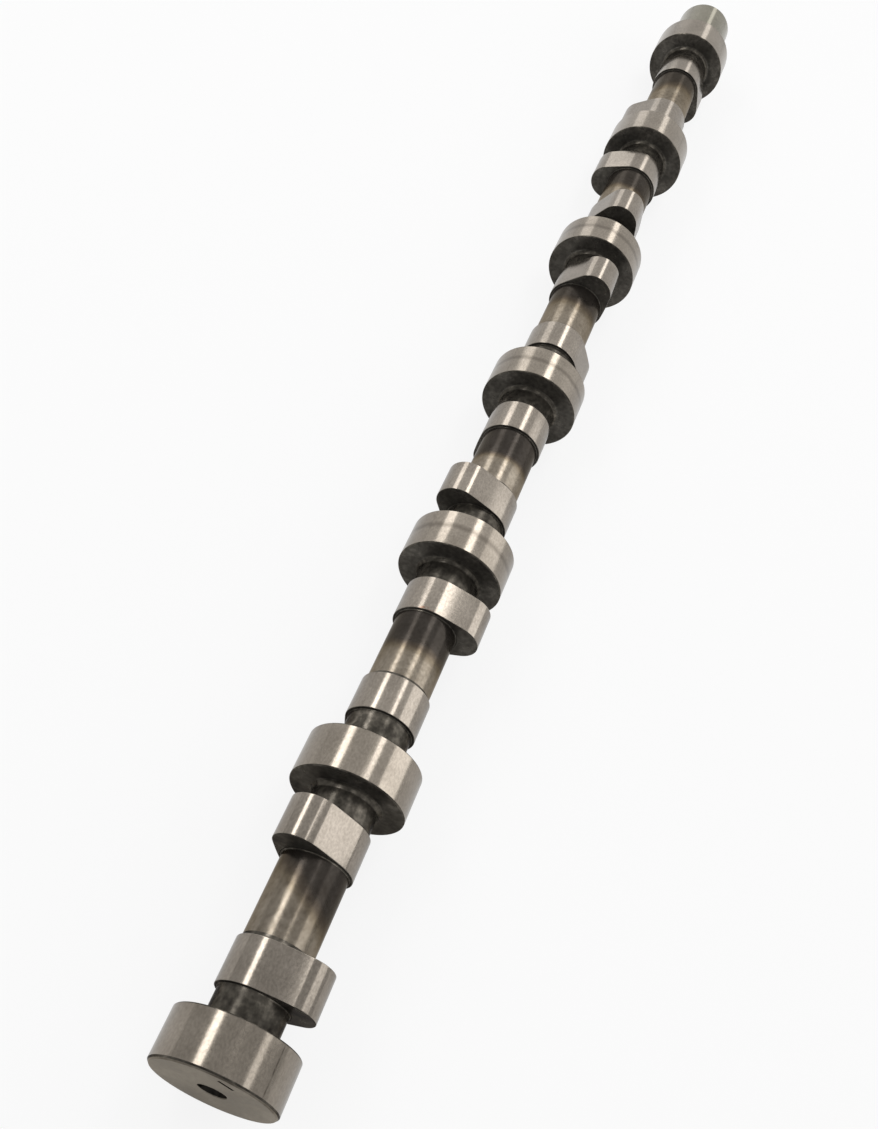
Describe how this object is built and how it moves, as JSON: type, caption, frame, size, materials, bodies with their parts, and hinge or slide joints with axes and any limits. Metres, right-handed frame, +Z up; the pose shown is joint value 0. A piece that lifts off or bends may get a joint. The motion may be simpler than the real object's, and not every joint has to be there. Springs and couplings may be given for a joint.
{
  "type": "camshaft",
  "caption": "One-piece forged and ground camshaft for an in-line six engine: equal main journals, two cams in each bay, a keyed gear seat on the front end.",
  "frame": {"origin": "centre of the rear end face, on the shaft's axis", "axes": "+X along the shaft's axis towards the gear seat at the front end; +Z up, with the shaft lying on its journals; +Y completes a right-handed frame"},
  "size_m": [0.9385, 0.0598, 0.06],
  "materials": {
    "ground_steel": "ground journals and cams, darker shaft between them"
  },
  "bodies": {
    "root": {"camshaft": "ground_steel"}
  },
  "joints": []
}
